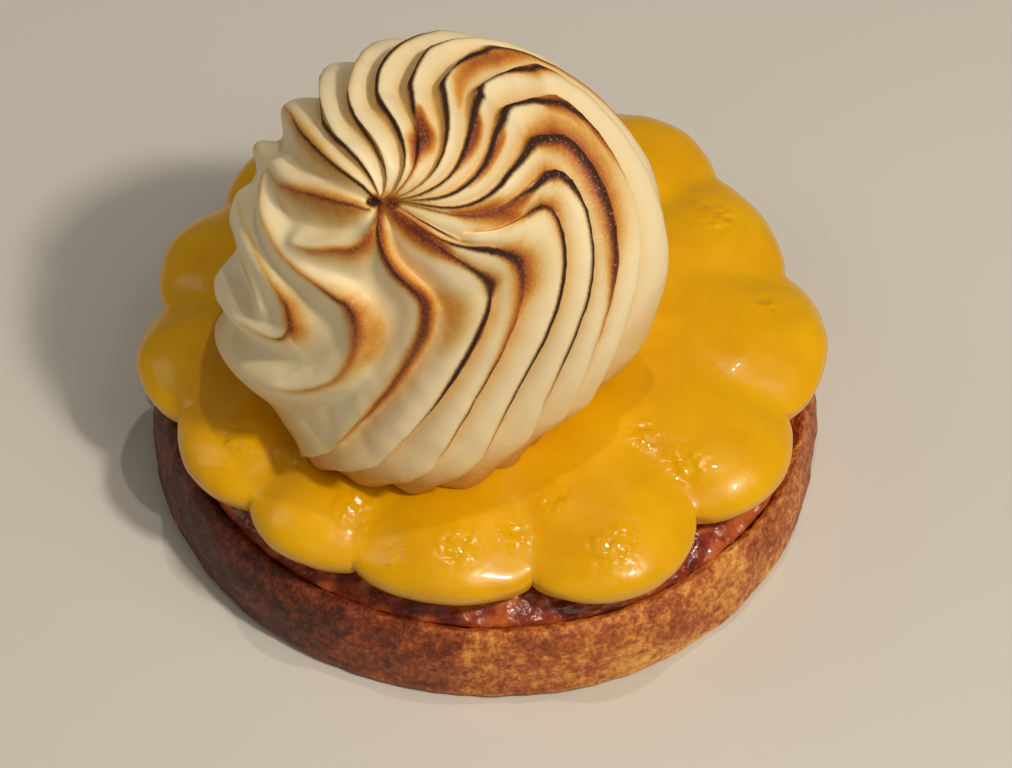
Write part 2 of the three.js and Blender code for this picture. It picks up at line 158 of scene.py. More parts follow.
# The two folds' edges, each a line of points: way and azimuth.
FOLDS = [
    [(0.038, 210), (0.067, 170), (0.127, 151), (0.21, 140), (0.265, 133), (0.312, 128.5),
     (0.335, 132)],
    [(0.335, 132), (0.318, 151), (0.293, 170), (0.2625, 210), (0.262, 231), (0.276, 245),
     (0.312, 251)],
    [(0.312, 251), (0.36, 251.5), (0.436, 246), (0.505, 234), (0.5625, 220), (0.61, 200),
     (0.69, 180), (0.82, 170), (1.0, 166)],
    [(0.05, 264), (0.1, 250), (0.137, 230), (0.165, 210), (0.215, 190), (0.245, 178)],
    [(1.0, 124), (0.72, 127), (0.56, 131), (0.445, 141), (0.382, 160), (0.353, 185),
     (0.366, 203), (0.4, 210)],
    [(0.4, 210), (0.43, 210), (0.45, 207), (0.503, 190), (0.585, 166), (0.72, 154), (1.0, 148)],
    [(0.5, 142), (0.433, 151), (0.4, 168), (0.402, 183), (0.43, 192)],
]
LINE_STEPS = 64
WAY_STRETCH = 100  # what a whole way counts against degrees of azimuth where a line curves

# ---- shape helpers ---------------------------------------------------------------------------


def ramp(a, b, x):
    """0 before a, 1 after b, and 3s^2 - 2s^3 between."""
    s = np.clip((x - a) / (b - a), 0, 1)
    return s * s * (3 - 2 * s)


def bell(azimuth, at, width):
    """exp(-(d/width)^2) of the angle d between two azimuths, all in degrees."""
    off = (azimuth - at + 180) % 360 - 180
    return np.exp(-((off / width) ** 2))


def blend_curve(points, count):
    """Centripetal Catmull-Rom curve through points, sampled at evenly spaced parameters."""
    points = np.asarray(points, float)
    ends = [2 * points[0] - points[1], 2 * points[-1] - points[-2]]
    padded = np.vstack([ends[0], points, ends[1]])
    u = np.linspace(0, len(points) - 1, count)
    k = np.minimum(u.astype(int), len(points) - 2)
    s = (u - k)[:, None]
    p0, p1, p2, p3 = (padded[k + i] for i in range(4))
    d0, d1, d2 = (
        np.sqrt(np.linalg.norm(b - a, axis=1))[:, None] for a, b in ((p0, p1), (p1, p2), (p2, p3))
    )
    m1 = ((p1 - p0) / d0 - (p2 - p0) / (d0 + d1) + (p2 - p1) / d1) * d1
    m2 = ((p2 - p1) / d1 - (p3 - p1) / (d1 + d2) + (p3 - p2) / d2) * d1
    return (
        p1
        + m1 * s
        + (-3 * p1 + 3 * p2 - 2 * m1 - m2) * s**2
        + (2 * p1 - 2 * p2 + m1 + m2) * s**3
    )


def lumps(points, size, seed, waves=40):
    """Smooth random field of about -1 to 1: the sum of waves of one length in random directions."""
    draw = np.random.default_rng(seed)
    directions = draw.normal(size=(waves, 3))
    directions /= np.linalg.norm(directions, axis=1)[:, None]
    lengths = size * draw.uniform(0.75, 1.5, waves)
    turns = draw.uniform(0, 2 * np.pi, waves)
    field = np.zeros(points.shape[:-1])
    for direction, length, turn in zip(directions, lengths, turns):
        field += np.sin(points @ direction * (2 * np.pi / length) + turn)
    return field * np.sqrt(2 / waves) / 2


def outward(points):
    """Unit normals of a wrapped grid of points: the cross product of its two directions."""
    around = np.roll(points, -1, axis=1) - np.roll(points, 1, axis=1)
    up = np.gradient(points, axis=0)
    normal = np.cross(around, up)
    return normal / np.maximum(np.linalg.norm(normal, axis=2), TINY)[..., None]


def roughened(rings, sizes, free):
    """Rings moved along their normals by the sum of lumps, scaled by free, which is 0 to 1.

    Each of the sizes is a height, a size of lump and the seed of its random draw.
    """
    relief = sum(height * lumps(rings, size, seed) for height, size, seed in sizes)
    return rings + outward(rings) * (relief * free)[..., None]


def turned(radius, height, azimuth):
    """Points round the axis, of a radius and a height for each ring, or each ring and column."""
    radius, height = np.broadcast_arrays(radius, height)
    turn = np.radians(azimuth)
    return np.stack([radius * np.cos(turn), radius * np.sin(turn), height], 2)


def closed_mesh(name, rings, bottom, top, attributes=None):
    """Mesh of a wrapped grid of rings, listed from the bottom up and counter-clockwise.

    Each end is closed by a fan round a middle point. Attributes are grids of one number a vertex, and
    a middle point takes the mean of its ring.
    """
    count, columns = rings.shape[:2]
    points = np.vstack([rings.reshape(-1, 3), [bottom], [top]]) * MM
    i, j = np.meshgrid(np.arange(count - 1), np.arange(columns), indexing="ij")
    k = (j + 1) % columns
    quads = np.stack([i * columns + j, i * columns + k, (i + 1) * columns + k, (i + 1) * columns + j])
    quads = quads.reshape(4, -1).T
    around = np.arange(columns)
    ahead = (around + 1) % columns
    last = (count - 1) * columns
    low, high = count * columns, count * columns + 1
    bottom_fan = np.stack([np.full(columns, low), ahead, around], 1)
    top_fan = np.stack([np.full(columns, high), last + around, last + ahead], 1)
    corners = np.concatenate([quads.ravel(), bottom_fan.ravel(), top_fan.ravel()])
    sizes = np.concatenate([np.full(len(quads), 4), np.full(2 * columns, 3)])
    starts = np.concatenate([[0], np.cumsum(sizes)[:-1]])
    mesh = bpy.data.meshes.new(name)
    mesh.vertices.add(len(points))
    mesh.vertices.foreach_set("co", points.astype(np.float32).ravel())
    mesh.loops.add(len(corners))
    mesh.loops.foreach_set("vertex_index", corners.astype(np.int32))
    mesh.polygons.add(len(sizes))
    mesh.polygons.foreach_set("loop_start", starts.astype(np.int32))
    mesh.update(calc_edges=True)
    mesh.polygons.foreach_set("use_smooth", np.ones(len(sizes), bool))
    for key, grid in (attributes or {}).items():
        values = np.concatenate([grid.ravel(), [grid[0].mean()], [grid[-1].mean()]])
        mesh.attributes.new(key, "FLOAT", "POINT").data.foreach_set("value", values.astype(np.float32))
    mesh.validate()
    return mesh


def add_piece(name, mesh, material, node):
    """Puts a finished piece into the scene in place of its solid."""
    piece = bpy.data.objects.new(name, mesh)
    bpy.context.scene.collection.objects.link(piece)
    mesh.materials.append(material)
    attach(piece, "root")
    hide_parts(node)


# ---- material helpers ------------------------------------------------------------------------


def paint(red, green, blue):
    """Scene colour of a screen colour given as 0 to 255."""
    c = np.array([red, green, blue]) / 255
    linear = np.where(c <= 0.04045, c / 12.92, ((c + 0.055) / 1.055) ** 2.4)
    return (*linear, 1.0)


class Field:
    """An output socket of a finish; arithmetic on it adds Math nodes."""

    def __init__(self, finish, socket):
        self.finish = finish
        self.socket = socket

    def __add__(self, other):
        return self.finish.math("ADD", self, other)

    __radd__ = __add__

    def __sub__(self, other):
        return self.finish.math("SUBTRACT", self, other)

    def __rsub__(self, other):
        return self.finish.math("SUBTRACT", other, self)

    def __mul__(self, other):
        return self.finish.math("MULTIPLY", self, other)

    __rmul__ = __mul__


class Finish:
    """One material and the nodes that make it, with the shader's constants given by name."""

    def __init__(self, name, **constants):
        self.material = bpy.data.materials.new(name)
        self.material.use_nodes = True
        self.tree = self.material.node_tree
        self.shader = self.tree.nodes["Principled BSDF"]
        for key, value in constants.items():
            self.shader.inputs[key.replace("_", " ")].default_value = value
        self.place = self.node("ShaderNodeTexCoord", output="Object")

    def node(self, kind, inputs=None, output=0, stops=None, **settings):
        """Adds a node of any kind: settings first, then the values or links of its sockets."""
        node = self.tree.nodes.new(kind)
        for key, value in settings.items():
            setattr(node, key, value)
        if stops:
            elements = node.color_ramp.elements
            while len(elements) < len(stops):
                elements.new(0.5)
            for element, (position, colour) in zip(elements, stops):
                element.position = position
                element.color = colour
        for key, value in (inputs or {}).items():
            if isinstance(value, Field):
                self.tree.links.new(value.socket, node.inputs[key])
            else:
                node.inputs[key].default_value = value
        return Field(self, node.outputs[output])

    def math(self, operation, first, second):
        """One operation on two values."""
        return self.node("ShaderNodeMath", {0: first, 1: second}, operation=operation)

    def between(self, value, low, high):
        """0 below low and 1 above high, smooth between."""
        inputs = {"Value": value, "From Min": low, "From Max": high}
        return self.node("ShaderNodeMapRange", inputs, interpolation_type="SMOOTHSTEP")

    def attribute(self, name):
        """The mesh's own value of that name."""
        return self.node("ShaderNodeAttribute", output="Fac", attribute_name=name)

    def grain(self, size, detail, roughness, place=None):
        """Noise of 0 to 1 with grains of about size millimetres."""
        inputs = {
            "Vector": place or self.place,
            "Scale": 1 / (size * MM),
            "Detail": detail,
            "Roughness": roughness,
        }
        return self.node("ShaderNodeTexNoise", inputs)

    def stretched(self, scale):
        """Places with each direction scaled."""
        return self.node("ShaderNodeMapping", {"Vector": self.place, "Scale": scale})

    def mix(self, factor, first, second):
        """Colour between first and second."""
        inputs = {0: factor, 6: first, 7: second}  # the sockets of the node that mixes colours
        return self.node("ShaderNodeMix", inputs, output=2, data_type="RGBA")

    def colours(self, value, stops):
        """Colour of a value on a ramp, with stops of a value and a screen colour."""
        stops = [(at, paint(*shade)) for at, shade in stops]
        return self.node("ShaderNodeValToRGB", {"Fac": value}, stops=stops)

    def feed(self, socket, value):
        """Links a value that changes over the surface to a socket of the shader."""
        self.tree.links.new(value.socket, self.shader.inputs[socket])

    def bump(self, height, depth, strength):
        """Relief of a height of 0 to 1 that stands for depth millimetres."""
        inputs = {"Height": height, "Distance": depth * MM, "Strength": strength}
        return self.node("ShaderNodeBump", inputs)


# ---- pastry case -----------------------------------------------------------------------------

CASE_COLUMNS = 420
CASE_RINGS = 90
CASE_LUMPS = [(0.16, 7, 1), (0.1, 2.6, 2), (0.04, 1.1, 3)]
CASE_FLAT_FOOT = 1.2  # height below which the lumps fade out
SHADED_SIDE = (-150, 55)  # azimuth and width of the side darkened by painted shade
SHADED_SIDE_WEIGHT = 1.6  # how far its painted shade is from the middle tone, where the painted light of the lit side is 1
LIT_SIDE = (-66, 42)  # azimuth and width of the side lightened by painted light
PALE_FOOT = 0.6  # how far the foot is towards gold
PALE_FOOT_END = (0.4, 1.6)  # heights between which that ends
PAINTED_LIGHT_AND_FOOT_WEIGHT = 0.12  # what the painted shade and light of the sides, and the paler foot, count against the grains
CRUST_COLOURS = [
    (0.42, (70, 28, 16)),
    (0.56, (132, 56, 26)),
    (0.68, (184, 96, 40)),
    (0.8, (230, 158, 72)),
    (0.9, (244, 196, 112)),
]
STREAK_STRETCH = (1, 1, 0.25)


def wall_push(azimuth):
    """Sum of the bells that push the whole wall out or in."""
    return sum(by * bell(azimuth, at, width) for at, width, by in CASE_PUSHES)


def lip_spread(azimuth):
    """Bell by which the inside of the rim stands further out."""
    at, width, by = LIP_SPREAD
    return by * bell(azimuth, at, width)


def case_mesh():
    """Wall profile turned round the axis, its radius shifted by waves, pushes and small lumps."""
    azimuth = np.arange(CASE_COLUMNS) * 360 / CASE_COLUMNS
    profile = blend_curve(CASE_WALL, CASE_RINGS)
    inset, height = profile[:, :1], profile[:, 1:]
    index = np.linspace(0, len(CASE_WALL) - 1, CASE_RINGS)[:, None]
    held = np.sin(np.pi * np.clip(height / RIM_HEIGHT, 0, 1))
    turn = np.radians(azimuth)
    waves = sum(depth * np.sin(lobes * turn + phase) for lobes, depth, phase in CASE_WAVES)
    inner = np.clip(index - LIP_RING, 0, 1)
    radius = TART_RADIUS - inset + waves * held + wall_push(azimuth) + lip_spread(azimuth) * inner
    rings = roughened(turned(radius, height, azimuth), CASE_LUMPS, ramp(0.0, CASE_FLAT_FOOT, height))
    # Painted shade on one side and painted light on another; the paler foot is the pastry's own colour.
    tone_and_painted_shade = SHADED_SIDE_WEIGHT * bell(azimuth, *SHADED_SIDE) - bell(azimuth, *LIT_SIDE)
    tone_and_painted_shade = tone_and_painted_shade - PALE_FOOT * (1 - ramp(*PALE_FOOT_END, height))
    return closed_mesh("pastry_case", rings, (0, 0, 0), (0, 0, CASE_FLOOR), {"tone_and_painted_shade": tone_and_painted_shade})


def case_finish():
    """Baked pastry: browns and gold from three grains, painted shade on one side and painted light on
    another, pores and streaks.
    """
    crust = Finish("baked_pastry", IOR=1.45)
    patches = crust.grain(size=6, detail=3, roughness=0.6)
    specks = crust.grain(size=1.0, detail=4, roughness=0.6)
    pores = crust.grain(size=0.4, detail=3, roughness=0.6)
    # The tone is shifted by the painted shade and painted light of the sides and by the paler foot.
    tone = patches * 0.45 + specks * 0.5 + pores * 0.3 - PAINTED_LIGHT_AND_FOOT_WEIGHT * crust.attribute("tone_and_painted_shade")
    crust.feed("Base Color", crust.colours(tone, CRUST_COLOURS))
    crust.feed("Roughness", 0.62 - 0.25 * specks)
    streaks = crust.grain(1.0, detail=3, roughness=0.6, place=crust.stretched(STREAK_STRETCH))
    relief = pores * 0.5 + streaks * 0.6 + specks
    crust.feed("Normal", crust.bump(relief, depth=0.35, strength=0.8))
    return crust.material


# ---- glazed filling --------------------------------------------------------------------------

FILLING_COLUMNS = 480
FILLING_RINGS = 56
BLISTERS = [(0.16, 2.4, 11), (0.09, 1.2, 12)]
BLISTERS_START = (9.0, 10.2)  # heights between which the blisters grow out of the edge
BLISTERS_END = (11.9, 12.3)  # heights between which they fade out under the curd
GLAZE_COLOURS = [(0.35, (104, 34, 20)), (0.5, (146, 56, 28)), (0.65, (194, 100, 44))]


def filling_mesh():
    """Domed profile turned round the axis, blistered by two sizes of lumps away from its edge."""
    azimuth = np.arange(FILLING_COLUMNS) * 360 / FILLING_COLUMNS
    profile = blend_curve(FILLING_PROFILE, FILLING_RINGS)
    radius, height = profile[:, :1] + wall_push(azimuth) + lip_spread(azimuth), profile[:, 1:]
    free = ramp(*BLISTERS_START, height) * (1 - ramp(*BLISTERS_END, height))
    rings = roughened(turned(radius, height, azimuth), BLISTERS, free)
    bottom, top = FILLING_PROFILE[0][1], FILLING_PROFILE[-1][1]
    return closed_mesh("glazed_filling", rings, (0, 0, bottom), (0, 0, top))


def filling_finish():
    """Wet amber glaze over red-brown filling, with small bubbles."""
    glaze = Finish("glazed_filling", IOR=1.45, Coat_Weight=0.4, Coat_Roughness=0.05)
    patches = glaze.grain(size=3, detail=3, roughness=0.6)
    glaze.feed("Base Color", glaze.colours(patches, GLAZE_COLOURS))
    glaze.feed("Roughness", 0.18 + 0.2 * patches)
    bubbles = glaze.grain(size=0.8, detail=2, roughness=0.5)
    glaze.feed("Normal", glaze.bump(bubbles, depth=0.25, strength=0.8))
    return glaze.material


# ---- lemon curd ------------------------------------------------------------------------------

# Where the skin has wrinkled, as clusters: x, y and spread.
WRINKLES = [
    (-15.2, -27.4, 2.6), (-10.3, -33.5, 1.4), (-3.2, -33.2, 2.2), (2.8, -30.8, 1.8), (7.6, -26.8, 1.5),
    (14.0, -32.8, 2.9), (17.9, -17.4, 1.8), (22.6, -21.0, 2.2), (-28.2, -17.4, 2.2), (-22.8, -20.0, 1.6),
    (28.0, 16.0, 2.4), (6.0, 35.0, 2.6), (-26.0, 22.0, 2.4), (-8.0, 33.0, 1.8), (33.0, 2.0, 1.6),
]
CURD_PER_LOBE = 38
CURD_SIDE_RINGS = 44
CURD_TOP_RINGS = 70
CURD_WAVES = [(0.12, 9, 21), (0.04, 3.5, 22)]
CURD_FLAT_EDGE = 1.5  # height above the underside in which the waves fade out
CURD_COLOURS = [(0.35, (226, 166, 0)), (0.65, (238, 182, 0))]


def curd_mesh():
    """Slab with a scalloped edge: lobes of sin^0.7 at the edge and sin^2 where its side ends."""
    first = CURD_LOBES
    after = np.roll(first, -1, axis=0)
    across = np.arange(CURD_PER_LOBE) / CURD_PER_LOBE
    width = (after[:, :1] - first[:, :1]) % 360
    bulge = np.sin(np.pi * across) + 0 * width
    azimuth = (first[:, :1] + width * across).ravel()
    base = first[:, 1:2] + (after[:, 1:2] - first[:, 1:2]) * across
    stretch = (first[:, 2:] - base).ravel()
    base = base.ravel()
    notched = (1 - bulge**2).ravel() ** CREASE_NARROWING
    bulge = bulge.ravel()

    def crease(radius):
        """Depth at a radius of the crease that runs inwards from each notch."""
        return CREASE_DEPTH * notched * ramp(CREASE_END, CURD_INNER, radius)

    middle = (CURD_UNDERSIDE + CURD_TOP - CURD_SAG) / 2
    swing = (np.linspace(-0.5, 0.5, CURD_SIDE_RINGS) * np.pi)[:, None]
    upper = np.clip(np.sin(swing), 0, 1)
    rounding = EDGE_ROUNDING + (TOP_ROUNDING - EDGE_ROUNDING) * upper
    reach = np.where(swing < 0, CURD_UNDERCUT, CURD_LIP)
    side_radius = base + stretch * bulge**rounding - reach * (1 - np.cos(swing))
    side_height = middle + (middle - CURD_UNDERSIDE) * np.sin(swing)
    side_height = side_height - crease(side_radius) * ramp(0, 1, upper)
    inward = np.linspace(1, 0, CURD_TOP_RINGS + 1)[1:-1, None]
    top_radius = side_radius[-1:] * inward
    top_height = CURD_TOP - CURD_SAG * ramp(SAG_START, CURD_INNER, top_radius) - crease(top_radius)
    radius = np.vstack([side_radius, top_radius])
    height = np.vstack([side_height, top_height])
    free = ramp(CURD_UNDERSIDE, CURD_UNDERSIDE + CURD_FLAT_EDGE, height)
    smooth = turned(radius, height, azimuth) + (*CURD_CENTRE, 0)
    spots = [
        np.exp(-((smooth[..., 0] - x) ** 2 + (smooth[..., 1] - y) ** 2) / spread**2)
        for x, y, spread in WRINKLES
    ]
    rings = roughened(smooth, CURD_WAVES, free)
    ends = (*CURD_CENTRE, CURD_UNDERSIDE), (*CURD_CENTRE, CURD_TOP)
    return closed_mesh("curd_slab", rings, *ends, {"wrinkled": np.max(spots, axis=0)})


def curd_finish():
    """Glossy lemon curd: deep yellow, slightly cloudy, with a wet skin that is wrinkled in places."""
    curd = Finish(
        "lemon_curd",
        IOR=1.4,
        Coat_Weight=0.3,
        Coat_Roughness=0.04,
        Subsurface_Weight=0.25,
        Subsurface_Radius=(1.0, 0.45, 0.08),
        Subsurface_Scale=2.0 * MM,
    )
    cloud = curd.grain(size=9, detail=3, roughness=0.55)
    wrinkled = curd.attribute("wrinkled")
    curd.feed("Base Color", curd.colours(cloud, CURD_COLOURS))
    curd.feed("Roughness", 0.26 + 0.1 * cloud - 0.24 * wrinkled)
    folds = (curd.grain(size=1.7, detail=1, roughness=0.5) - 0.5) * wrinkled
    skin = folds + curd.grain(size=0.4, detail=1, roughness=0.5) * 0.015
    curd.feed("Normal", curd.bump(skin, depth=1.05, strength=1.0))
    return curd.material


# ---- meringue rosette ------------------------------------------------------------------------

# Rings crowd where the folds and elbows are: share of the rings, share of the way.
RING_STATIONS = [(0, 0), (0.1, 0.08), (0.8, 0.62), (1, 1)]
ROSETTE_RINGS = 224
CREST_CROWDING = 0.7
CLOCKWISE_SHARE = 0.6  # spread of the toast on a crest's clockwise side, against the other side
TOAST_EDGE = 1.4  # how suddenly a line's toast ends, higher for sooner
CHAR_REACH = 3.0  # half-widths from a line's middle to where its char ends
PATCH_FADE = 0.4  # how suddenly a patch ends, lower for sooner
FLANK_TOAST_AND_SHADE = 0.3  # toast and painted shade on the steep side behind each crest
FLANK_SHARE = 0.4  # how far across a band that toast and painted shade reach
FLANK_LOSS = 0.6  # share of it that is lost on the way down
FLANK_LOSS_WAYS = (0.4, 0.8)
# Toast with painted shade on the lower part of the rosette, towards the foot.
FOOT_TOAST_AND_SHADE = 0.3
FOOT_TOAST_AND_SHADE_WAYS = (0.5, 0.95)
SINK = 1.0  # how far the foot is pressed into the curd
SINK_FROM = 0.88
BLUR = 4.0  # spread of the folds' softening, in grid cells
BLUR_EDGES = (0.05, 0.04)  # shares of the folds' band over which that softening sets in
ROSETTE_LUMPS = [(0.06, 3, 31)]
SMOOTH_TIP = 0.03  # way above which there are no lumps
MERINGUE_COLOURS = [
    (0.0, (246, 230, 190)),
    (0.15, (232, 200, 138)),
    (0.3, (214, 156, 70)),
    (0.5, (184, 104, 38)),
    (0.72, (128, 56, 26)),
    (1.0, (68, 28, 18)),
]
CHAR_COLOUR = (50, 21, 14)
BURNT_SUGAR_COLOUR = (206, 132, 74)

tilt, turn_of_tip = np.radians(TIP_TILT), np.radians(TIP_TURN)
TIP = np.array(
    [np.sin(tilt) * np.cos(turn_of_tip), np.sin(tilt) * np.sin(turn_of_tip), np.cos(tilt)]
)


def dome(way, azimuth):
    """Points of the smooth dome: a great circle from the tip to the foot, scaled to an egg.

    way is the share of the way from tip to foot and azimuth the foot's, in degrees.
    """
    way, azimuth = np.broadcast_arrays(np.asarray(way, float), np.asarray(azimuth, float))
    drop = (DOME_FOOT - DOME_CENTRE[2]) / DOME_BELLY
    spread = np.sqrt(1 - drop**2)
    turn = np.radians(azimuth)
    foot = np.stack([spread * np.cos(turn), spread * np.sin(turn), drop + 0 * turn], -1)
    arc = np.arccos(np.clip(foot @ TIP, -1, 1))
    from_tip = (np.sin((1 - way) * arc) / np.sin(arc))[..., None]
    from_foot = (np.sin(way * arc) / np.sin(arc))[..., None]
    direction = from_tip * TIP + from_foot * foot
    girth = 1 + sum(
        share * ramp(start, end, way) * bell(azimuth, at, width)
        for at, width, share, start, end in DENTS
    )
    rise = np.where(direction[..., 2] >= 0, DOME_RISE, DOME_BELLY)
    scale = np.stack([DOME_RADIUS * girth, DOME_RADIUS * girth, rise], -1)
    return DOME_CENTRE + scale * direction


def flute_azimuth(flute, way):
    """Azimuth of a crest: out by a sine up to its elbow, a hold, then back by a soft fall."""
    out = np.sin(np.pi / 2 * np.clip(way / flute.elbow, 0, 1) ** flute.ease)
    past = np.maximum(0, (way - flute.elbow - flute.hold) / FALL_SCALE)
    back = 1 - np.exp(-(past**2) / (past + FALL_CORNER))
    return flute.start + flute.swing * out - flute.fall * back


def surface_line(points):
    """Line on the dome through points given as way and azimuth."""
    curve = blend_curve([(WAY_STRETCH * way, azimuth) for way, azimuth in points], LINE_STEPS + 1)
    return dome(curve[:, 0] / WAY_STRETCH, curve[:, 1])


def flute_line(flute):
    """Line on the dome along a crest, from where it begins down to the foot."""
    ways = np.arange(LINE_STEPS + 1) / LINE_STEPS
    ways = ways[ways >= flute.begins]
    return dome(ways, flute_azimuth(flute, ways))


def measure(points, line):
    """Distance of every point to a line, signed, and how far along it the nearest place lies.

    The sign is positive on the counter-clockwise side of a line that runs down from the tip.
    """
    start = line[:-1]
    run = line[1:] - start
    length = np.linalg.norm(run, axis=1)
    unit = run / length[:, None]
    reach = points @ unit.T - np.sum(start * unit, axis=1)
    step = np.clip(reach, 0, length)
    squared = np.sum(points**2, axis=1)[:, None] - 2 * points @ start.T + np.sum(start**2, axis=1)
    squared = squared - 2 * step * reach + step**2
    nearest = squared.argmin(axis=1)
    every = np.arange(len(points))
    offset = points - start[nearest]
    side = np.sum(np.cross(unit[nearest], offset) * (points - DOME_CENTRE), axis=1)
    away = np.sqrt(np.maximum(squared[every, nearest], 0))
    along = (nearest + step[every, nearest] / length[nearest]) / len(run)
    return np.where(side >= 0, away, -away), along


def blurred(grid, spread):
    """Grid smoothed by a bell-shaped average, wrapped round its columns."""
    reach = int(3 * spread)
    offsets = np.arange(-reach, reach + 1)
    weights = np.exp(-((offsets / spread) ** 2) / 2)
    weights /= weights.sum()
    rows = np.arange(grid.shape[0])
    across = sum(w * np.roll(grid, k, axis=1) for w, k in zip(weights, offsets))
    return sum(
        w * across[np.clip(rows + k, 0, len(rows) - 1)] for w, k in zip(weights, offsets)
    )


